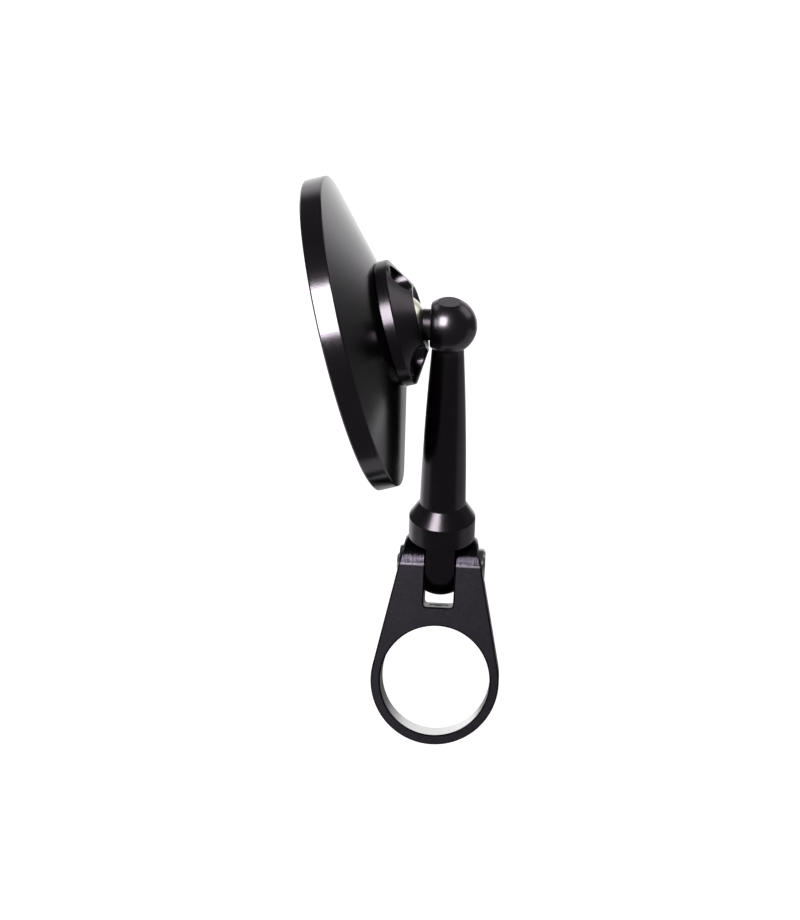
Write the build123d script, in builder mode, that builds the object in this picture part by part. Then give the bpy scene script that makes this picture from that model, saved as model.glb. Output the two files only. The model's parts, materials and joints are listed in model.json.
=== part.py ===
"""Round bar end mirror: a ring for the end of a handlebar, a folding stem and a mirror on a ball joint.

Millimetres, +Z up. The origin is the centre of the ring's bore and +Y runs along the bar, inboard.
The stem folds about the X axis of the fork, and the ball joint sits left of the stem's head.
"""
import os
from math import cos, radians, sin, sqrt, tan

from build123d import *

os.makedirs("parts", exist_ok=True)

# Ring and fork
bar_d = 22.2                # handlebar the ring slides on
bar_clearance = 0.05        # radial room between bar and bore
ring_wall = 1.95
clamp_t = 11.5              # length along the bar
side_taper = 12.0           # degrees that each flank leans in
web = 3.8                   # metal between bore and fork slot
slot_corner_r = 0.7
edge_break = 0.3            # chamfer on the ring's outline, slot and bore

# Tongue and fold joint
tongue_t = 5.85
tongue_side_gap = 0.1
tongue_r = 6.45             # ball end of the tongue about the pivot
tongue_floor_gap = 2.15     # room to fold
pivot_d = 4.0
pivot_clearance = 0.05
fold_deg = 27.2             # lean of the stem at rest, outboard

# Pivot bolt, disc spring and nut
bolt_head_d = 7.0
bolt_head_h = 3.2
bolt_socket_af = 2.5
bolt_socket_depth = 1.4
head_room = 0.2             # radial room round a sunk head
ear_web = 2.2               # metal left between slot and bolt seats
spring_t = 0.4
spring_h = 0.7
spring_lip = 0.1            # radial step from the bolt head's edge to the spring's
nut_af = 7.0
nut_h = 3.2
nut_room = 0.06
nut_corner_deg = 30.0
bolt_tail = 0.5             # thread that stands out of the nut
thread_clearance = 0.03
end_chamfer = 0.45

# Grub screw that grips the bar
grub_d = 4.0
grub_socket_af = 2.0
grub_socket_depth = 1.7
grub_back = 0.1             # how far both ends stay inside the web

# Stem
collar_gap = 0.92           # collar to the round of the ears
collar_r = 6.76
collar_len = 4.79
collar_low_edge = 0.25
collar_high_round = 0.25
cone_len = 3.2
cone_round = 0.7            # blend from cone to stem
stem_base_r = 4.67
stem_top_r = 3.165
stem_bulge = 0.207          # how far the taper swells past straight
stem_len = 39.82            # from the cone to the centre of the head
head_r = 5.6
head_flat_r = 2.28          # flat on top of the head
neck_seat_r = 4.35          # flat on the head's mirror side
neck_seat_round = 0.4
neck_r = 3.1
neck_len = 1.45

# Ball stud
ball_r = 6.0
ball_flat_step = 0.1        # the ball's shoulder is this much smaller than the neck
neck_gap = 0.02
shank_d = 4.0
shank_clearance = 0.04
shank_len = 7.5
shank_end_room = 0.6
ball_socket_af = 2.5
ball_socket_depth = 2.6

# Mirror head, along its own axis from the plane of the rim's back edge
tilt_deg = 16.3             # lean of the mirror on the ball at rest
tilt_turn_deg = 16.6        # direction of that lean, from straight up towards the outboard side
rim_r = 31.2
rim_h = 4.25
rim_edge = 0.3
rim_round = 0.4             # edge between rim and back
back_rise = 5.45            # height of the conical back
boss_r = 12.5
housing_wall = 1.7
boss_wall = 1.4             # metal outside the retainer screws
ball_above_boss = 1.2       # ball centre over the top of the back
ball_clearance = 0.05

# Ball seat
seat_wall = 1.25
seat_floor = 0.8
seat_clearance = 0.05

# Retaining ring and its screws
band_h = 2.3
shadow_gap = 0.35           # groove between the ring and the back
shadow_step = 0.5
spigot_depth = 1.0          # ring let into the back, which centres it
spigot_room = 0.05
band_round = 0.35
face_rise = 3.75
face_r = 6.7
face_round = 0.2
opening_r = 6.2
lip_deg = 55.0              # half angle of the opening over the ball
screw_count = 3
screw_start_deg = -78.0
screw_circle_r = 9.5
screw_d = 3.0
screw_head_d = 5.5
screw_head_h = 2.0
screw_socket_af = 2.0
screw_socket_depth = 1.2
screw_len = 6.0
screw_hole_room = 0.1
screw_head_room = 0.1
screw_sink = 1.5            # seat of the heads under the band's edge
screw_tip_room = 0.45

# Glass and its tape
glass_t = 1.8
glass_curve_r = 1200.0      # convex face
glass_edge_gap = 0.2
glass_back = 0.1            # crown of the glass behind the rim
rim_wall = 1.6
ledge_w = 2.6
tape_t = 0.45
tape_inset = 0.25

# Places worked out from the sizes
bore_r = bar_d / 2 + bar_clearance
ring_r = bore_r + ring_wall
ear_r = clamp_t / 2
slot_floor = bore_r + web
slot_w = tongue_t + 2 * tongue_side_gap
pivot_z = slot_floor + tongue_floor_gap + tongue_r
pivot_r = pivot_d / 2
ear_top = pivot_z + ear_r
seat_x = slot_w / 2 + ear_web
past_all = 2 * (ear_top + ring_r)

pivot = Vector(0, 0, pivot_z)
stem_dir = Vector(0, -sin(radians(fold_deg)), cos(radians(fold_deg)))
right = Vector(1, 0, 0)
stem_axis = Axis(pivot, stem_dir)
stem_side = Plane(pivot, x_dir=right, z_dir=right.cross(stem_dir))

collar_low = ear_r + collar_gap
collar_high = collar_low + collar_len
cone_high = collar_high + cone_len
head_a = cone_high + stem_len
stem_join = head_a - sqrt(head_r**2 - stem_top_r**2)
head_flat = sqrt(head_r**2 - head_flat_r**2)
neck_seat = sqrt(head_r**2 - neck_seat_r**2)
head_centre = pivot + stem_dir * head_a

ball_flat_r = neck_r - ball_flat_step
ball_flat = sqrt(ball_r**2 - ball_flat_r**2)
ball_reach = neck_seat + neck_len + neck_gap + ball_flat
ball_centre = head_centre - right * ball_reach
neck_axis = Axis(ball_centre, right)
neck_face = Plane(head_centre - right * neck_seat, z_dir=-right)
neck_end = Plane(head_centre - right * (neck_seat + neck_len), z_dir=right)
stud_side = Plane(ball_centre, x_dir=stem_dir, z_dir=stem_dir.cross(right))

lean = Vector(0, -sin(radians(tilt_turn_deg)), cos(radians(tilt_turn_deg)))
mirror_out = right * cos(radians(tilt_deg)) + lean * sin(radians(tilt_deg))
ball_s = back_rise + ball_above_boss
rim_centre = ball_centre - mirror_out * ball_s
near_side = right.cross(lean)
mirror_axis = Axis(rim_centre, mirror_out)
mirror_back = Plane(rim_centre, x_dir=near_side, z_dir=mirror_out)
mirror_side = Plane(rim_centre, x_dir=near_side, z_dir=near_side.cross(mirror_out))

socket_r = ball_r + ball_clearance
seat_r = socket_r + seat_wall
pocket_r = seat_r + seat_clearance
seat_low = ball_s - socket_r - seat_floor
pocket_low = seat_low - seat_clearance
face_low = back_rise + band_h
face_high = face_low + face_rise
spigot_low = back_rise - spigot_depth
spigot_r = boss_r - shadow_step
screw_head_low = face_low - screw_sink
screw_tip = screw_head_low - screw_len
head_seat = mirror_back.offset(screw_head_low)
boss_inner_r = screw_circle_r + screw_d / 2 + boss_wall
cone_slope = back_rise / (rim_r - boss_r)

glass_crown = -rim_h + glass_back
recess_r = rim_r - rim_wall
glass_r = recess_r - glass_edge_gap
glass_back_r = glass_curve_r - glass_t
tape_in_r = recess_r - ledge_w + tape_inset
tape_out_r = glass_r - tape_inset


def curve_drop(radius, at):
    """How far a dome of this radius has fallen at a distance from its crown."""
    return radius - sqrt(radius**2 - at**2)


ledge = glass_crown + glass_t + curve_drop(glass_back_r, tape_in_r) + tape_t


def hex_socket(face, across_flats, depth):
    """Sink a hexagon key socket into a face of the piece being made."""
    with BuildSketch(face) as key:
        RegularPolygon(across_flats / 2, 6, major_radius=False)
    extrude(key.sketch, amount=-depth, mode=Mode.SUBTRACT)


def along_x(x):
    """Plane across the pivot axis at a distance from the middle of the fork, facing right."""
    return Plane(pivot + right * x, x_dir=(0, 1, 0), z_dir=right)


# Ring and fork, milled from one block
with BuildPart() as bar_clamp:
    with BuildSketch(Plane.XZ) as outline:
        Circle(ring_r)
        flank = radians(side_taper)
        tangent_x = ring_r * cos(flank)
        tangent_z = ring_r * sin(flank)
        top_x = tangent_x - (ear_top - tangent_z) * tan(flank)
        with BuildLine():
            Polyline(
                (-tangent_x, tangent_z), (tangent_x, tangent_z),
                (top_x, ear_top), (-top_x, ear_top), close=True,
            )
        make_face()
    extrude(amount=clamp_t / 2, both=True)
    with BuildSketch(Plane.YZ) as over_ears:
        with Locations((0, pivot_z + ear_r)):
            Rectangle(clamp_t, 2 * ear_r)
        with Locations((0, pivot_z)):
            Circle(ear_r, mode=Mode.SUBTRACT)
    extrude(amount=ring_r, both=True, mode=Mode.SUBTRACT)
    with BuildSketch(Plane.XZ) as fork_slot:
        with Locations((0, slot_floor)):
            Rectangle(slot_w, past_all, align=(Align.CENTER, Align.MIN))
        fillet(fork_slot.vertices().group_by(Axis.Y)[0], slot_corner_r)
    extrude(amount=clamp_t, both=True, mode=Mode.SUBTRACT)
    with BuildSketch(Plane.XZ) as bore:
        Circle(bore_r)
    extrude(amount=clamp_t, both=True, mode=Mode.SUBTRACT)
    front_and_back = bar_clamp.faces().filter_by(Axis.Y)
    chamfer(front_and_back.edges(), edge_break)
    with BuildSketch(along_x(0)) as pivot_hole:
        Circle(pivot_r + pivot_clearance)
    extrude(amount=ring_r, both=True, mode=Mode.SUBTRACT)
    with BuildSketch(along_x(seat_x)) as head_pocket:
        Circle(bolt_head_d / 2 + head_room)
    extrude(amount=ring_r, mode=Mode.SUBTRACT)
    with BuildSketch(along_x(-seat_x)) as nut_pocket:
        RegularPolygon(nut_af / 2 + nut_room, 6, major_radius=False)
    extrude(amount=-ring_r, mode=Mode.SUBTRACT)
    with BuildSketch(Plane.XY) as grub_hole:
        Circle(grub_d / 2 + thread_clearance)
    extrude(amount=slot_floor, mode=Mode.SUBTRACT)
bar_clamp.part.label = "bar_clamp"
export_step(bar_clamp.part, "parts/bar_clamp.step")

# Grub screw in the web, between the slot and the bore
grub_high = slot_floor - grub_back
grub_low = bore_r + grub_back
with BuildPart() as bar_grub_screw:
    with BuildSketch(Plane.XY.offset(grub_low)):
        Circle(grub_d / 2)
    extrude(amount=grub_high - grub_low)
    chamfer(bar_grub_screw.edges().filter_by(GeomType.CIRCLE), end_chamfer)
    hex_socket(Plane.XY.offset(grub_high), grub_socket_af, grub_socket_depth)
bar_grub_screw.part.label = "bar_grub_screw"
export_step(bar_grub_screw.part, "parts/bar_grub_screw.step")

# Low head cap screw through both ears
bolt_head_x = seat_x + spring_h
bolt_end_x = -seat_x - nut_h - bolt_tail
with BuildPart() as pivot_bolt:
    with BuildSketch(along_x(bolt_end_x)):
        Circle(pivot_r)
    extrude(amount=bolt_head_x - bolt_end_x)
    chamfer(pivot_bolt.edges().group_by(Axis.X)[0], end_chamfer)
    with BuildSketch(along_x(bolt_head_x)):
        Circle(bolt_head_d / 2)
    extrude(amount=bolt_head_h)
    chamfer(pivot_bolt.edges().group_by(Axis.X)[-1], end_chamfer)
    hex_socket(along_x(bolt_head_x + bolt_head_h), bolt_socket_af, bolt_socket_depth)
pivot_bolt.part.label = "pivot_bolt"
export_step(pivot_bolt.part, "parts/pivot_bolt.step")

# Conical disc spring under the head, which keeps the fold stiff
spring_in_r = pivot_r + pivot_clearance
spring_out_r = bolt_head_d / 2 - spring_lip
with BuildPart() as disc_spring:
    with BuildSketch(Plane(pivot, x_dir=right, z_dir=(0, -1, 0))):
        with BuildLine():
            Polyline(
                (seat_x, spring_out_r), (seat_x + spring_t, spring_out_r),
                (seat_x + spring_h, spring_in_r), (seat_x + spring_h - spring_t, spring_in_r), close=True,
            )
        make_face()
    revolve(axis=Axis(pivot, right))
disc_spring.part.label = "disc_spring"
export_step(disc_spring.part, "parts/disc_spring.step")

# Hexagon nut in the left ear
with BuildPart() as pivot_nut:
    with BuildSketch(along_x(-seat_x)):
        RegularPolygon(nut_af / 2, 6, major_radius=False)
        Circle(pivot_r + thread_clearance, mode=Mode.SUBTRACT)
    extrude(amount=-nut_h)
    nut_corner_r = nut_af / sqrt(3)
    nut_corner_cut = (nut_corner_r - nut_af / 2) * tan(radians(nut_corner_deg))
    with BuildSketch(Plane(pivot, x_dir=right, z_dir=(0, -1, 0))) as corner_cut:
        with BuildLine():
            Polyline(
                (-seat_x - nut_h, nut_af / 2), (-seat_x - nut_h, nut_corner_r),
                (-seat_x - nut_h + nut_corner_cut, nut_corner_r), close=True,
            )
        make_face()
    revolve(axis=Axis(pivot, right), mode=Mode.SUBTRACT)
pivot_nut.part.label = "pivot_nut"
export_step(pivot_nut.part, "parts/pivot_nut.step")

# Stem: tongue, collar, swelling taper and ball-shaped head, turned and milled from one bar
with BuildPart() as stem:
    with BuildSketch(stem_side) as turned:
        with BuildLine():
            tongue_mid = tongue_r * sqrt(0.5)
            ThreePointArc((0, -tongue_r), (tongue_mid, -tongue_mid), (tongue_r, 0))
            Polyline(
                (tongue_r, 0), (tongue_r, collar_low), (collar_r, collar_low + collar_low_edge),
                (collar_r, collar_high), (stem_base_r, cone_high),
            )
            taper_mid_r = (stem_base_r + stem_top_r) / 2 + stem_bulge
            ThreePointArc(
                (stem_base_r, cone_high), (taper_mid_r, (cone_high + stem_join) / 2), (stem_top_r, stem_join),
            )
            ThreePointArc(
                (stem_top_r, stem_join), (head_r, head_a), (head_flat_r, head_a + head_flat),
            )
            Polyline((head_flat_r, head_a + head_flat), (0, head_a + head_flat), (0, -tongue_r))
        make_face()
        fillet(turned.vertices().sort_by_distance((collar_r, collar_high))[0], collar_high_round)
        fillet(turned.vertices().sort_by_distance((stem_base_r, cone_high))[0], cone_round)
    revolve(axis=stem_axis)
    with BuildSketch(Plane(pivot + stem_dir * collar_low, x_dir=right, z_dir=stem_dir)) as flats:
        Rectangle(4 * collar_r, 4 * collar_r)
        Rectangle(tongue_t, 4 * collar_r, mode=Mode.SUBTRACT)
    extrude(amount=-(collar_low + 2 * tongue_r), mode=Mode.SUBTRACT)
    with BuildSketch(along_x(0)) as tongue_hole:
        Circle(pivot_r + pivot_clearance)
    extrude(amount=tongue_t, both=True, mode=Mode.SUBTRACT)
    with BuildSketch(neck_face) as neck_spot:
        Circle(head_r)
    extrude(amount=head_r, mode=Mode.SUBTRACT)
    neck_side = stem.edges().filter_by(GeomType.CIRCLE).sort_by_distance(neck_face.origin)
    fillet(neck_side.filter_by(lambda e: abs(e.radius - neck_seat_r) < neck_gap)[0], neck_seat_round)
    with BuildSketch(neck_face) as neck:
        Circle(neck_r)
    extrude(amount=neck_len)
    with BuildSketch(neck_end) as shank_hole:
        Circle(shank_d / 2 + shank_clearance)
    extrude(amount=shank_len + shank_end_room, mode=Mode.SUBTRACT)
stem.part.label = "stem"
export_step(stem.part, "parts/stem.step")

# Ball stud, screwed into the neck
with BuildPart() as ball_stud:
    with BuildSketch(stud_side) as stud_profile:
        shank_end = ball_flat + neck_gap + shank_len
        with BuildLine():
            Polyline(
                (0, -ball_r), (0, shank_end), (shank_d / 2 - end_chamfer, shank_end),
                (shank_d / 2, shank_end - end_chamfer), (shank_d / 2, ball_flat), (ball_flat_r, ball_flat),
            )
            ThreePointArc((ball_flat_r, ball_flat), (ball_r, 0), (0, -ball_r))
        make_face()
    revolve(axis=neck_axis)
    hex_socket(Plane(ball_centre - right * ball_r, z_dir=-right), ball_socket_af, ball_socket_depth)
ball_stud.part.label = "ball_stud"
export_step(ball_stud.part, "parts/ball_stud.step")

# Housing: conical back, rim, screw boss and a ledge for the glass
cavity_high = back_rise - (boss_inner_r - boss_r) * cone_slope - housing_wall
cavity_edge_r = recess_r - ledge_w
cavity_edge = (rim_r - cavity_edge_r) * cone_slope - housing_wall
with BuildPart() as mirror_housing:
    with BuildSketch(mirror_side) as dish:
        with BuildLine():
            Polyline(
                (0, ledge), (boss_inner_r, ledge), (boss_inner_r, cavity_high), (cavity_edge_r, cavity_edge),
                (cavity_edge_r, ledge), (recess_r, ledge), (recess_r, -rim_h), (rim_r - rim_edge, -rim_h),
                (rim_r, -rim_h + rim_edge), (rim_r, 0), (boss_r, back_rise),
                (spigot_r + spigot_room, back_rise), (spigot_r + spigot_room, spigot_low), (pocket_r, spigot_low),
                (pocket_r, pocket_low), (0, pocket_low), close=True,
            )
        make_face()
        fillet(dish.vertices().sort_by_distance((rim_r, 0))[0], rim_round)
    revolve(axis=mirror_axis)
    with BuildSketch(mirror_back.offset(back_rise)):
        with PolarLocations(screw_circle_r, screw_count, start_angle=screw_start_deg):
            Circle(screw_d / 2 + thread_clearance)
    extrude(amount=-(back_rise - screw_tip + screw_tip_room), mode=Mode.SUBTRACT)
mirror_housing.part.label = "mirror_housing"
export_step(mirror_housing.part, "parts/mirror_housing.step")

# Seat cup under the ball
seat_high = spigot_low - seat_clearance
with BuildPart() as ball_seat:
    with BuildSketch(mirror_side) as cup:
        cup_r = sqrt(socket_r**2 - (ball_s - seat_high)**2)
        cup_mid = radians(45)
        with BuildLine():
            Polyline(
                (0, ball_s - socket_r), (0, seat_low), (seat_r, seat_low), (seat_r, seat_high), (cup_r, seat_high),
            )
            ThreePointArc(
                (cup_r, seat_high),
                (socket_r * sin(cup_mid), ball_s - socket_r * cos(cup_mid)),
                (0, ball_s - socket_r),
            )
        make_face()
    revolve(axis=mirror_axis)
ball_seat.part.label = "ball_seat"
export_step(ball_seat.part, "parts/ball_seat.step")

# Retaining ring over the ball
lip_r = socket_r * sin(radians(lip_deg))
lip_s = ball_s + socket_r * cos(radians(lip_deg))
with BuildPart() as ball_retainer:
    with BuildSketch(mirror_side) as ring_section:
        lip_mid = radians((lip_deg + 90) / 2)
        with BuildLine():
            Polyline(
                (socket_r, ball_s), (socket_r, spigot_low), (spigot_r, spigot_low),
                (spigot_r, back_rise + shadow_gap), (boss_r, back_rise + shadow_gap),
                (boss_r, face_low), (face_r, face_high), (opening_r, face_high), (lip_r, lip_s),
            )
            ThreePointArc(
                (lip_r, lip_s),
                (socket_r * sin(lip_mid), ball_s + socket_r * cos(lip_mid)),
                (socket_r, ball_s),
            )
        make_face()
        fillet(ring_section.vertices().sort_by_distance((boss_r, face_low))[0], band_round)
        fillet(ring_section.vertices().sort_by_distance((face_r, face_high))[0], face_round)
    revolve(axis=mirror_axis)
    with BuildSketch(head_seat):
        with PolarLocations(screw_circle_r, screw_count, start_angle=screw_start_deg):
            Circle(screw_head_d / 2 + screw_head_room)
    extrude(amount=screw_sink + face_rise, mode=Mode.SUBTRACT)
    with BuildSketch(mirror_back):
        with PolarLocations(screw_circle_r, screw_count, start_angle=screw_start_deg):
            Circle(screw_d / 2 + screw_hole_room)
    extrude(amount=face_high, mode=Mode.SUBTRACT)
ball_retainer.part.label = "ball_retainer"
export_step(ball_retainer.part, "parts/ball_retainer.step")

# Low head cap screws that hold the retaining ring down
with BuildPart() as retainer_screws:
    with BuildSketch(head_seat):
        with PolarLocations(screw_circle_r, screw_count, start_angle=screw_start_deg):
            Circle(screw_d / 2)
    extrude(amount=-screw_len)
    with BuildSketch(head_seat):
        with PolarLocations(screw_circle_r, screw_count, start_angle=screw_start_deg):
            Circle(screw_head_d / 2)
    extrude(amount=screw_head_h)
    with BuildSketch(head_seat.offset(screw_head_h)) as keys:
        with PolarLocations(screw_circle_r, screw_count, start_angle=screw_start_deg):
            RegularPolygon(screw_socket_af / 2, 6, major_radius=False)
    extrude(amount=-screw_socket_depth, mode=Mode.SUBTRACT)
retainer_screws.part.label = "retainer_screws"
export_step(retainer_screws.part, "parts/retainer_screws.step")

# Convex mirror glass
with BuildPart() as mirror_glass:
    with BuildSketch(mirror_side) as lens:
        front_edge = glass_crown + curve_drop(glass_curve_r, glass_r)
        back_crown = glass_crown + glass_t
        back_edge = back_crown + curve_drop(glass_back_r, glass_r)
        with BuildLine():
            Line((0, back_crown), (0, glass_crown))
            ThreePointArc(
                (0, glass_crown), (glass_r / 2, glass_crown + curve_drop(glass_curve_r, glass_r / 2)),
                (glass_r, front_edge),
            )
            Line((glass_r, front_edge), (glass_r, back_edge))
            ThreePointArc(
                (glass_r, back_edge), (glass_r / 2, back_crown + curve_drop(glass_back_r, glass_r / 2)),
                (0, back_crown),
            )
        make_face()
    revolve(axis=mirror_axis)
mirror_glass.part.label = "mirror_glass"
export_step(mirror_glass.part, "parts/mirror_glass.step")

# Ring of foam tape between the glass and its ledge
with BuildPart() as glass_tape:
    with BuildSketch(mirror_side) as tape:
        tape_in = glass_crown + glass_t + curve_drop(glass_back_r, tape_in_r)
        tape_out = glass_crown + glass_t + curve_drop(glass_back_r, tape_out_r)
        with BuildLine():
            Polyline(
                (tape_in_r, tape_in), (tape_in_r, ledge), (tape_out_r, ledge), (tape_out_r, tape_out), close=True,
            )
        make_face()
    revolve(axis=mirror_axis)
glass_tape.part.label = "glass_tape"
export_step(glass_tape.part, "parts/glass_tape.step")
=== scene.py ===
"""Looks for the bar end mirror: finishes for every piece, the studio and the camera."""
import json
from math import cos, radians, sin

import bpy
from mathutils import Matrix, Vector


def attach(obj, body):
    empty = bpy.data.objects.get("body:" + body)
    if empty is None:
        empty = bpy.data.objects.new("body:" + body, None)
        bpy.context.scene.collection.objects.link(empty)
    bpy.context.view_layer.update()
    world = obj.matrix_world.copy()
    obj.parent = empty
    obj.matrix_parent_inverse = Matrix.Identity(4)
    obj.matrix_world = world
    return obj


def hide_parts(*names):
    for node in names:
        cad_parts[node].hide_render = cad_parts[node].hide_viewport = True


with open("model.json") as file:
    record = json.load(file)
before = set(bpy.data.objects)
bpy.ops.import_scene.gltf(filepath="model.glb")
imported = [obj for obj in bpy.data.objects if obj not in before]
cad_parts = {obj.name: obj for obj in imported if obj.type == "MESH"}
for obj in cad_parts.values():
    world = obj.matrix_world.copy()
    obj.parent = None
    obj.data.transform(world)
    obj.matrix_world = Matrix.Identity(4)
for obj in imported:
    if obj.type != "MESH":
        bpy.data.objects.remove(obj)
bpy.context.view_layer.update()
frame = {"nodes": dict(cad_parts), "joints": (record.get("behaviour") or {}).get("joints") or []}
bpy.ops.object.select_all(action="DESELECT")

# Places and axes that the finishes follow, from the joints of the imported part
joints = {joint["name"]: joint for joint in frame["joints"]}
fold_pivot = Vector(joints["stem_fold"]["pos_m"])
fold_lean = radians(90 - joints["stem_fold"]["range_deg"][1])
stem_line = Vector((0, -sin(fold_lean), cos(fold_lean)))
ball_centre = Vector(joints["mirror_roll"]["pos_m"])
mirror_line = Vector(joints["mirror_roll"]["axis"])
bar_centre = Vector((0, 0, 0))
bar_line = Vector((0, 1, 0))
pivot_line = Vector((1, 0, 0))
stud_line = Vector((1, 0, 0))

# Where one finish or painted highlight goes over to the next, in metres: radii from an axis, and heights
bore_skin_r = (0.01118, 0.01130)
burnish_height = (-0.0090, -0.0045)
ear_skin_r = (0.00535, 0.0055)
sanding_height = (fold_pivot.z, fold_pivot.z + 0.0002)
# Bounds of the painted highlight line on the ears just over the pivot
painted_highlight_line_foot = (fold_pivot.z - 0.0003, fold_pivot.z - 0.0001)
painted_highlight_line_top = (fold_pivot.z + 0.0001, fold_pivot.z + 0.0003)
# Where the painted highlight starts on the stem's head and on the mirror's rim
stem_head_r = 0.0056
stem_head_start = (ball_centre - fold_pivot).dot(stem_line) - stem_head_r
rim_skin_r = 0.0309
painted_highlight_fade = 0.0002

# Levels that a smooth step runs between
rising = (0.0, 1.0)
falling = (1.0, 0.0)

# The two numbers that lathe_coordinates gives
out_from_axis = "X"
along_axis = "Y"


def new_finish(name):
    """A new material, with its nodes, links and shader."""
    finish = bpy.data.materials.new(name)
    finish.use_nodes = True
    shader = finish.node_tree.nodes["Principled BSDF"]
    return finish, finish.node_tree.nodes, finish.node_tree.links, shader


def piece_coordinates(nodes, links, centre=None, line=None):
    """Object coordinates, or coordinates with their Z along a turned piece's own axis."""
    place = nodes.new("ShaderNodeTexCoord")
    if line is None:
        return place.outputs["Object"]
    turn = nodes.new("ShaderNodeMapping")
    turn.vector_type = "TEXTURE"
    turn.inputs["Location"].default_value = centre
    turn.inputs["Rotation"].default_value = line.to_track_quat("Z", "Y").to_euler()
    links.new(place.outputs["Object"], turn.inputs["Vector"])
    return turn.outputs["Vector"]


def lathe_coordinates(nodes, links, own):
    """Distance from the axis and place along it, so that a noise on them draws turning marks."""
    parts = nodes.new("ShaderNodeSeparateXYZ")
    links.new(own, parts.inputs["Vector"])
    across = nodes.new("ShaderNodeCombineXYZ")
    links.new(parts.outputs["X"], across.inputs["X"])
    links.new(parts.outputs["Y"], across.inputs["Y"])
    reach = nodes.new("ShaderNodeVectorMath")
    reach.operation = "LENGTH"
    links.new(across.outputs["Vector"], reach.inputs[0])
    marks = nodes.new("ShaderNodeCombineXYZ")
    links.new(reach.outputs["Value"], marks.inputs[out_from_axis])
    links.new(parts.outputs["Z"], marks.inputs[along_axis])
    return marks.outputs["Vector"]


def drawn_out(nodes, links, own, scale):
    """Coordinates drawn out where the scale is small, so that a noise on them makes streaks."""
    draw = nodes.new("ShaderNodeMapping")
    draw.inputs["Scale"].default_value = scale
    links.new(own, draw.inputs["Vector"])
    return draw.outputs["Vector"]


def axis_part(nodes, links, where, axis):
    """One of a vector's three numbers."""
    parts = nodes.new("ShaderNodeSeparateXYZ")
    links.new(where, parts.inputs["Vector"])
    return parts.outputs[axis]


def noise(nodes, links, where, per_metre, detail, rough=0.5):
    """A noise of so many bumps per metre."""
    grain = nodes.new("ShaderNodeTexNoise")
    grain.inputs["Scale"].default_value = per_metre
    grain.inputs["Detail"].default_value = detail
    grain.inputs["Roughness"].default_value = rough
    links.new(where, grain.inputs["Vector"])
    return grain.outputs["Fac"]


# The part of a noise's range that it mostly keeps to
noise_low = 0.3
noise_high = 0.7


def spread(nodes, links, value, low, high):
    """Noise stretched to run from low to high."""
    span = nodes.new("ShaderNodeMapRange")
    span.inputs["From Min"].default_value = noise_low
    span.inputs["From Max"].default_value = noise_high
    span.inputs["To Min"].default_value = low
    span.inputs["To Max"].default_value = high
    links.new(value, span.inputs["Value"])
    return span.outputs["Result"]


def two_tone(nodes, links, value, dark, light):
    """Colour that follows a noise between two near shades."""
    ramp = nodes.new("ShaderNodeValToRGB")
    ramp.color_ramp.elements[0].position = noise_low
    ramp.color_ramp.elements[0].color = (*dark, 1)
    ramp.color_ramp.elements[1].position = noise_high
    ramp.color_ramp.elements[1].color = (*light, 1)
    links.new(value, ramp.inputs["Fac"])
    return ramp.outputs["Color"]


def tinted(nodes, links, share, first, second):
    """First colour, going over to the second where the share is one."""
    blend = nodes.new("ShaderNodeMix")
    blend.data_type = "RGBA"
    links.new(share, blend.inputs["Factor"])
    links.new(first, blend.inputs["A"])
    links.new(second, blend.inputs["B"])
    return blend.outputs["Result"]


def bump(nodes, links, shader, height, strength, depth):
    """Fine relief of so many metres."""
    relief = nodes.new("ShaderNodeBump")
    relief.inputs["Strength"].default_value = strength
    relief.inputs["Distance"].default_value = depth
    links.new(height, relief.inputs["Height"])
    links.new(relief.outputs["Normal"], shader.inputs["Normal"])
    return relief


def ramp_over(nodes, links, value, between, levels):
    """A smooth step from one level to the other, as the value goes from one place to the other."""
    step = nodes.new("ShaderNodeMapRange")
    step.interpolation_type = "SMOOTHSTEP"
    step.inputs["From Min"].default_value, step.inputs["From Max"].default_value = between
    step.inputs["To Min"].default_value, step.inputs["To Max"].default_value = levels
    links.new(value, step.inputs["Value"])
    return step.outputs["Result"]


def two_values(nodes, links, operation, first, second):
    """What one operation makes of two values."""
    pair = nodes.new("ShaderNodeMath")
    pair.operation = operation
    links.new(first, pair.inputs[0])
    links.new(second, pair.inputs[1])
    return pair.outputs["Value"]


def times(nodes, links, first, second):
    """Product of two values."""
    return two_values(nodes, links, "MULTIPLY", first, second)


def greater_of(nodes, links, first, second):
    """The greater of two values."""
    return two_values(nodes, links, "MAXIMUM", first, second)


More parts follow.
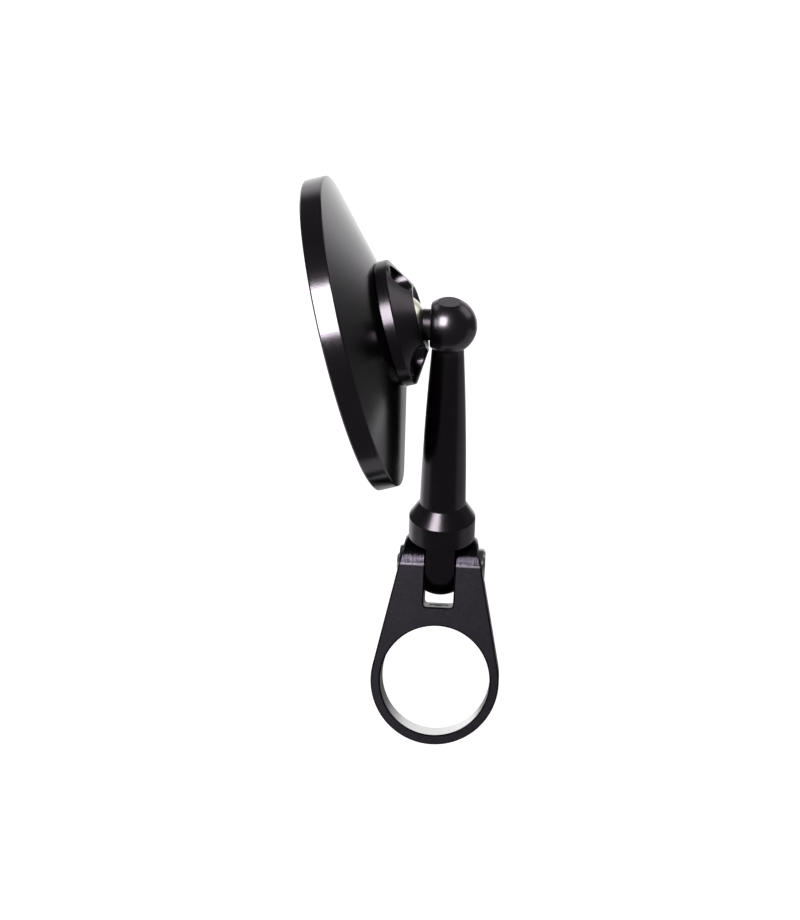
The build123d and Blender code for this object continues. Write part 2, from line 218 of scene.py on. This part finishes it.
def blasted_black():
    """Black anodised over a bead blast, on the milled ring, with sanded ears with painted highlights and a
    bore burnished low down.
    """
    streak = 0.02
    burnished_share = 0.45
    sanded_share = 0.42

    finish, nodes, links, shader = new_finish("blasted_black")
    own = piece_coordinates(nodes, links)
    along_bar = piece_coordinates(nodes, links, bar_centre, bar_line)
    along_pivot = piece_coordinates(nodes, links, fold_pivot, pivot_line)
    from_bar = axis_part(nodes, links, lathe_coordinates(nodes, links, along_bar), out_from_axis)
    from_pivot = axis_part(nodes, links, lathe_coordinates(nodes, links, along_pivot), out_from_axis)
    height = axis_part(nodes, links, own, "Z")

    in_bore = ramp_over(nodes, links, from_bar, bore_skin_r, falling)
    low_down = ramp_over(nodes, links, height, burnish_height, falling)
    burnished = times(nodes, links, in_bore, low_down)
    at_ear_skin = ramp_over(nodes, links, from_pivot, ear_skin_r, rising)
    over_pivot = ramp_over(nodes, links, height, sanding_height, rising)
    ear_round = times(nodes, links, at_ear_skin, over_pivot)
    # Painted highlight: a thin bright line on the ears just over the pivot, where their round starts
    line_start = ramp_over(nodes, links, height, painted_highlight_line_foot, rising)
    line_end = ramp_over(nodes, links, height, painted_highlight_line_top, falling)
    painted_highlight_line = times(nodes, links, at_ear_skin, times(nodes, links, line_start, line_end))

    cloud = noise(nodes, links, own, per_metre=260, detail=3)
    speck = noise(nodes, links, own, per_metre=3200, detail=2)
    across_ear = drawn_out(nodes, links, own, (streak, 1, 1))
    milling_marks = noise(nodes, links, across_ear, per_metre=4500, detail=2)
    round_ear = drawn_out(nodes, links, own, (1, streak, streak))
    sanding_marks = noise(nodes, links, round_ear, per_metre=9000, detail=2)
    black = two_tone(nodes, links, speck, dark=(0.016, 0.014, 0.018), light=(0.0227, 0.02, 0.0255))
    # Painted highlight: the sanded ear tops get a paler colour, over their grain lines, to brighten the
    # highlight band on their round
    sanded_grain_and_painted_highlight = two_tone(nodes, links, milling_marks, dark=(0.018, 0.016, 0.021), light=(0.056, 0.049, 0.063))
    # Colour of the painted highlight line
    painted_highlight_line_colour = two_tone(nodes, links, sanding_marks, dark=(0.13, 0.117, 0.14), light=(0.20, 0.18, 0.21))
    skin = tinted(nodes, links, painted_highlight_line, tinted(nodes, links, ear_round, black, sanded_grain_and_painted_highlight), painted_highlight_line_colour)
    links.new(skin, shader.inputs["Base Color"])

    # The blast's roughness, and what burnishing and sanding leave of it
    blast = spread(nodes, links, cloud, low=0.37, high=0.43)
    bore_share = ramp_over(nodes, links, burnished, rising, (1.0, burnished_share))
    ear_share = ramp_over(nodes, links, ear_round, rising, (1.0, sanded_share))
    roughness = times(nodes, links, times(nodes, links, blast, bore_share), ear_share)
    links.new(roughness, shader.inputs["Roughness"])
    links.new(burnished, shader.inputs["Coat Weight"])
    shader.inputs["Coat Roughness"].default_value = 0.16
    shader.inputs["Coat IOR"].default_value = 2.0
    shader.inputs["Metallic"].default_value = 1.0
    blasted = bump(nodes, links, shader, speck, strength=0.25, depth=0.00001)
    sanding = bump(nodes, links, shader, sanding_marks, strength=1.0, depth=0.00005)
    links.new(blasted.outputs["Normal"], sanding.inputs["Normal"])
    links.new(ear_round, sanding.inputs["Strength"])
    return finish


def turned_black(name, centre, line, gloss, painted_highlight_way=None, painted_highlight_from=0.0):
    """Black anodised over fine turning marks about a piece's own axis, with a painted highlight: paler from a
    place out or along it.
    """
    finish, nodes, links, shader = new_finish(name)
    own = piece_coordinates(nodes, links, centre, line)
    lathe = lathe_coordinates(nodes, links, own)
    cloud = noise(nodes, links, own, per_metre=220, detail=3)
    marks = noise(nodes, links, lathe, per_metre=5200, detail=3)
    grain = noise(nodes, links, own, per_metre=4200, detail=2)
    skin = two_tone(nodes, links, cloud, dark=(0.056, 0.0495, 0.0565), light=(0.061, 0.054, 0.0615))
    # Painted highlight: a paler copy of the black from a place out or along the axis, to brighten the
    # highlights on the stem's head and the mirror's rim
    if painted_highlight_way:
        reach = axis_part(nodes, links, lathe, painted_highlight_way)
        in_painted_highlight = ramp_over(nodes, links, reach, (painted_highlight_from, painted_highlight_from + painted_highlight_fade), rising)
        painted_highlight_skin = two_tone(nodes, links, cloud, dark=(0.084, 0.0743, 0.0848), light=(0.0915, 0.081, 0.0923))
        skin = tinted(nodes, links, in_painted_highlight, skin, painted_highlight_skin)
    links.new(skin, shader.inputs["Base Color"])
    links.new(spread(nodes, links, marks, *gloss), shader.inputs["Roughness"])
    bump(nodes, links, shader, grain, strength=1.0, depth=0.000007)
    shader.inputs["Metallic"].default_value = 1.0
    return finish


def polished_ball_steel():
    """Warm bright steel with hair-fine polishing scratches, on the ball stud."""
    finish, nodes, links, shader = new_finish("polished_ball_steel")
    own = piece_coordinates(nodes, links, ball_centre, stud_line)
    marks = noise(nodes, links, lathe_coordinates(nodes, links, own), per_metre=4200, detail=4)
    cloud = noise(nodes, links, own, per_metre=400, detail=3)
    skin = two_tone(nodes, links, cloud, dark=(0.76, 0.76, 0.62), light=(0.84, 0.84, 0.73))
    links.new(skin, shader.inputs["Base Color"])
    links.new(spread(nodes, links, marks, low=0.24, high=0.34), shader.inputs["Roughness"])
    bump(nodes, links, shader, marks, strength=0.08, depth=0.000004)
    shader.inputs["Metallic"].default_value = 1.0
    return finish


def zinc_plate():
    """Bright zinc plate, a little clouded, on the pivot bolt, nut and spring."""
    finish, nodes, links, shader = new_finish("zinc_plate")
    own = piece_coordinates(nodes, links, fold_pivot, pivot_line)
    cloud = noise(nodes, links, own, per_metre=700, detail=4)
    marks = noise(nodes, links, lathe_coordinates(nodes, links, own), per_metre=3600, detail=3)
    skin = two_tone(nodes, links, cloud, dark=(0.30, 0.30, 0.31), light=(0.41, 0.41, 0.42))
    links.new(skin, shader.inputs["Base Color"])
    links.new(spread(nodes, links, marks, low=0.14, high=0.24), shader.inputs["Roughness"])
    bump(nodes, links, shader, marks, strength=0.15, depth=0.000008)
    shader.inputs["Metallic"].default_value = 1.0
    return finish


def black_oxide():
    """Oiled black oxide, glossier where it is paler, on the retainer screws and the grub screw."""
    finish, nodes, links, shader = new_finish("black_oxide")
    own = piece_coordinates(nodes, links)
    cloud = noise(nodes, links, own, per_metre=900, detail=4)
    skin = two_tone(nodes, links, cloud, dark=(0.045, 0.045, 0.048), light=(0.085, 0.084, 0.086))
    links.new(skin, shader.inputs["Base Color"])
    links.new(spread(nodes, links, cloud, low=0.42, high=0.30), shader.inputs["Roughness"])
    bump(nodes, links, shader, cloud, strength=0.15, depth=0.00001)
    shader.inputs["Metallic"].default_value = 1.0
    return finish


def seat_nylon():
    """Natural nylon, waxy and slightly clouded, on the cup under the ball."""
    finish, nodes, links, shader = new_finish("seat_nylon")
    own = piece_coordinates(nodes, links)
    cloud = noise(nodes, links, own, per_metre=600, detail=3)
    skin = two_tone(nodes, links, cloud, dark=(0.74, 0.71, 0.62), light=(0.83, 0.80, 0.72))
    links.new(skin, shader.inputs["Base Color"])
    links.new(spread(nodes, links, cloud, low=0.40, high=0.52), shader.inputs["Roughness"])
    bump(nodes, links, shader, cloud, strength=0.10, depth=0.00002)
    return finish


def tape_foam():
    """Black closed-cell foam with small pores, on the ring of tape behind the glass."""
    finish, nodes, links, shader = new_finish("tape_foam")
    own = piece_coordinates(nodes, links)
    pores = noise(nodes, links, own, per_metre=5000, detail=3, rough=0.7)
    skin = two_tone(nodes, links, pores, dark=(0.015, 0.015, 0.016), light=(0.050, 0.050, 0.052))
    links.new(skin, shader.inputs["Base Color"])
    links.new(spread(nodes, links, pores, low=0.95, high=0.80), shader.inputs["Roughness"])
    bump(nodes, links, shader, pores, strength=0.6, depth=0.00004)
    return finish


def silvered_glass():
    """Bright silvering under clear glass, with a faint film of handling."""
    finish, nodes, links, shader = new_finish("silvered_glass")
    own = piece_coordinates(nodes, links)
    film = noise(nodes, links, own, per_metre=70, detail=4, rough=0.6)
    skin = two_tone(nodes, links, film, dark=(0.83, 0.86, 0.88), light=(0.87, 0.895, 0.91))
    links.new(skin, shader.inputs["Base Color"])
    links.new(spread(nodes, links, film, low=0.012, high=0.035), shader.inputs["Roughness"])
    shader.inputs["Metallic"].default_value = 1.0
    shader.inputs["Coat Weight"].default_value = 1.0
    shader.inputs["Coat Roughness"].default_value = 0.02
    return finish


def ground_edge():
    """Ground edge of the glass, grey green and matt."""
    finish, nodes, links, shader = new_finish("ground_glass_edge")
    own = piece_coordinates(nodes, links, ball_centre, mirror_line)
    grit = noise(nodes, links, own, per_metre=4000, detail=3)
    skin = two_tone(nodes, links, grit, dark=(0.20, 0.25, 0.23), light=(0.32, 0.37, 0.35))
    links.new(skin, shader.inputs["Base Color"])
    links.new(spread(nodes, links, grit, low=0.45, high=0.65), shader.inputs["Roughness"])
    bump(nodes, links, shader, grit, strength=0.3, depth=0.00001)
    return finish


def convex_glass():
    """The convex glass with a seamed edge, in the place of its CAD node and of the same size."""
    sides = 128
    rings = 12
    seam_width = 0.0002
    seam_angle = radians(40)
    smooth_angle = radians(20)
    edge_slack = 1e-5
    front_facing = 0.9

    # Radius, crown, curve and thickness of the node's own glass
    node = frame["nodes"]["mirror_glass"]
    spots = [vertex.co - ball_centre for vertex in node.data.vertices]
    heights = [spot.dot(mirror_line) for spot in spots]
    reaches = [(spot - mirror_line * height).length for spot, height in zip(spots, heights)]
    glass_r = max(reaches)
    crown = min(heights)
    edge_heights = [height for height, reach in zip(heights, reaches) if reach > glass_r - edge_slack]
    front_edge = min(edge_heights)
    thickness = max(edge_heights) - front_edge
    sag = front_edge - crown
    curve_r = (glass_r**2 + sag**2) / (2 * sag)

    bpy.ops.mesh.primitive_circle_add(vertices=sides, radius=glass_r, fill_type="NGON")
    glass = bpy.context.object
    glass.name = "convex_glass"
    bpy.ops.object.mode_set(mode="EDIT")
    bpy.ops.mesh.select_all(action="SELECT")
    for _ in range(rings):
        bpy.ops.mesh.inset(thickness=glass_r / (rings + 1))
    bpy.ops.object.mode_set(mode="OBJECT")
    for vertex in glass.data.vertices:
        reach = vertex.co.xy.length
        vertex.co.z = (curve_r**2 - reach**2) ** 0.5 - curve_r
    wall = glass.modifiers.new("thickness", "SOLIDIFY")
    wall.thickness = thickness
    wall.offset = -1
    seam = glass.modifiers.new("seamed_edge", "BEVEL")
    seam.width = seam_width
    seam.segments = 2
    seam.limit_method = "ANGLE"
    seam.angle_limit = seam_angle
    for modifier in ("thickness", "seamed_edge"):
        bpy.ops.object.modifier_apply(modifier=modifier)
    glass.data.materials.append(silvered_glass())
    glass.data.materials.append(ground_edge())
    for face in glass.data.polygons:
        face.material_index = 0 if face.normal.z > front_facing else 1
    glass.rotation_euler = (-mirror_line).to_track_quat("Z", "Y").to_euler()
    glass.location = ball_centre + mirror_line * crown
    bpy.ops.object.transform_apply(location=True, rotation=True, scale=True)
    bpy.ops.object.shade_smooth_by_angle(angle=smooth_angle)
    bpy.ops.object.select_all(action="DESELECT")
    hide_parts("mirror_glass")
    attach(glass, "mirror")


def dress(finish, *pieces):
    """Give the finish to CAD nodes."""
    for piece in pieces:
        slots = frame["nodes"][piece].data.materials
        slots.clear()
        slots.append(finish)


stem_black = turned_black("turned_black_stem", fold_pivot, stem_line, gloss=(0.25, 0.262),
                          painted_highlight_way=along_axis, painted_highlight_from=stem_head_start)
mirror_black = turned_black("turned_black_mirror", ball_centre, mirror_line, gloss=(0.13, 0.17),
                            painted_highlight_way=out_from_axis, painted_highlight_from=rim_skin_r)
retainer_black = turned_black("turned_black_retainer", ball_centre, mirror_line, gloss=(0.232, 0.248))
dress(blasted_black(), "bar_clamp")
dress(stem_black, "stem")
dress(mirror_black, "mirror_housing")
dress(retainer_black, "ball_retainer")
dress(polished_ball_steel(), "ball_stud")
dress(zinc_plate(), "pivot_bolt", "pivot_nut", "disc_spring")
dress(black_oxide(), "retainer_screws", "bar_grub_screw")
dress(seat_nylon(), "ball_seat")
dress(tape_foam(), "glass_tape")
convex_glass()


def paper_finish():
    """Pale paper that shows as white and keeps its shadow, its glow in reflections painted dimmer near by and
    low right.
    """
    paper_grey = 0.62
    white_lift = 0.86
    mirrored_dim = 0.1
    near_floor = (0.05, 0.35)
    right_side = (-0.12, 0.0)
    low_wall = (0.03, 0.12)

    finish, nodes, links, shader = new_finish("sweep_paper")
    shader.inputs["Base Color"].default_value = (paper_grey, paper_grey, paper_grey, 1)
    shader.inputs["Roughness"].default_value = 0.9
    shader.inputs["Specular IOR Level"].default_value = 0.1
    ray = nodes.new("ShaderNodeLightPath")
    own = piece_coordinates(nodes, links)
    # Painted shade in reflections: the paper's glow, as metal mirrors it, is dimmed near the mirror and low on
    # the right
    further_back = ramp_over(nodes, links, axis_part(nodes, links, own, "Y"), near_floor, (mirrored_dim, 1.0))
    to_right = ramp_over(nodes, links, axis_part(nodes, links, own, "X"), right_side, rising)
    low_down = ramp_over(nodes, links, axis_part(nodes, links, own, "Z"), low_wall, falling)
    low_right = times(nodes, links, to_right, low_down)
    clear = ramp_over(nodes, links, low_right, rising, (1.0, mirrored_dim))
    mirrored = times(nodes, links, ray.outputs["Is Glossy Ray"], times(nodes, links, further_back, clear))
    seen = greater_of(nodes, links, ray.outputs["Is Camera Ray"], mirrored)
    seen_through = greater_of(nodes, links, seen, ray.outputs["Is Transmission Ray"])
    lift = nodes.new("ShaderNodeMath")
    lift.operation = "MULTIPLY"
    lift.inputs[1].default_value = white_lift
    links.new(seen_through, lift.inputs[0])
    shader.inputs["Emission Color"].default_value = (1, 1, 1, 1)
    links.new(lift.outputs["Value"], shader.inputs["Emission Strength"])
    return finish


def paper_sweep():
    """Sheet of paper that starts under the mirror and sweeps up behind it."""
    floor_z = -0.062
    half_width = 1.1
    front = -0.015
    flat_end = 0.75
    bend_r = 0.35
    rise = 0.9
    bend_steps = 16
    wall_taper = 0.6
    edge_slack = 1e-6

    bpy.ops.mesh.primitive_plane_add(size=1, location=(0, 0, floor_z))
    paper = bpy.context.object
    paper.name = "sweep"
    paper.scale = (2 * half_width, flat_end - front, 1)
    paper.location.y = (front + flat_end) / 2
    bpy.ops.object.transform_apply(location=True, rotation=True, scale=True)
    bpy.ops.object.mode_set(mode="EDIT")
    bpy.ops.mesh.select_all(action="DESELECT")
    bpy.ops.object.mode_set(mode="OBJECT")
    corners = paper.data.vertices
    for edge in paper.data.edges:
        edge.select = all(abs(corners[end].co.y - flat_end) < edge_slack for end in edge.vertices)
    bpy.ops.object.mode_set(mode="EDIT")
    for step in range(bend_steps):
        low, high = (radians(90 * (step + ahead) / bend_steps) for ahead in (0, 1))
        move = (0, bend_r * (sin(high) - sin(low)), bend_r * (cos(low) - cos(high)))
        bpy.ops.mesh.extrude_region_move(TRANSFORM_OT_translate={"value": move})
        bpy.ops.transform.resize(value=(wall_taper ** (1 / bend_steps), 1, 1))
    bpy.ops.mesh.extrude_region_move(TRANSFORM_OT_translate={"value": (0, 0, rise)})
    bpy.ops.object.mode_set(mode="OBJECT")
    bpy.ops.object.shade_smooth()
    paper.data.materials.append(paper_finish())
    bpy.ops.object.select_all(action="DESELECT")


def studio_world():
    """White behind the mirror and dim on every other side, and white to the camera."""
    wall_way = (0, 0.93, 0.37)
    wall_edge = (0.74, 0.90)
    room_dim = 0.11

    studio = bpy.data.worlds.new("studio")
    bpy.context.scene.world = studio
    studio.use_nodes = True
    nodes, links = studio.node_tree.nodes, studio.node_tree.links
    place = nodes.new("ShaderNodeTexCoord")
    toward_wall = nodes.new("ShaderNodeVectorMath")
    toward_wall.operation = "DOT_PRODUCT"
    toward_wall.inputs[1].default_value = wall_way
    links.new(place.outputs["Generated"], toward_wall.inputs[0])
    wall = ramp_over(nodes, links, toward_wall.outputs["Value"], wall_edge, (room_dim, 1.0))
    ray = nodes.new("ShaderNodeLightPath")
    shown = greater_of(nodes, links, wall, ray.outputs["Is Camera Ray"])
    links.new(shown, nodes["Background"].inputs["Strength"])
    nodes["Background"].inputs["Color"].default_value = (1, 1, 1, 1)


def soft_box(name, left_deg, up_deg, distance, width, height, watts):
    """A rectangular light that faces the mirror, placed by its angles from the camera's side."""
    left, up = radians(left_deg), radians(up_deg)
    outward = Vector((-sin(left) * cos(up), -cos(left) * cos(up), sin(up)))
    mirror_middle = Vector((0, -0.02, 0.05))
    bpy.ops.object.light_add(type="AREA", location=mirror_middle + outward * distance)
    lamp = bpy.context.object
    lamp.name = name
    lamp.rotation_euler = outward.to_track_quat("Z", "Y").to_euler()
    lamp.data.shape = "RECTANGLE"
    lamp.data.size = width
    lamp.data.size_y = height
    lamp.data.energy = watts


def photo_camera():
    """Camera at the photograph's place."""
    lens_mm = 101.739
    place = (0.012625, -0.53345, 0.063141)
    turn_deg = (87.9868, -2.6274, 2.4498)

    camera_data = bpy.data.cameras.new("camera")
    camera_data.lens = lens_mm
    camera = bpy.data.objects.new("camera", camera_data)
    bpy.context.scene.collection.objects.link(camera)
    camera.location = place
    camera.rotation_euler = [radians(angle) for angle in turn_deg]
    bpy.context.scene.camera = camera


paper_sweep()
studio_world()
soft_box("window_light", left_deg=22, up_deg=15, distance=0.8, width=0.40, height=0.46, watts=9.9)
soft_box("right_fill", left_deg=-105, up_deg=42, distance=1.0, width=0.6, height=0.6, watts=1.4)
soft_box("left_fill", left_deg=105, up_deg=42, distance=1.0, width=0.6, height=0.6, watts=1.4)
photo_camera()
bpy.context.scene.view_settings.view_transform = "Standard"
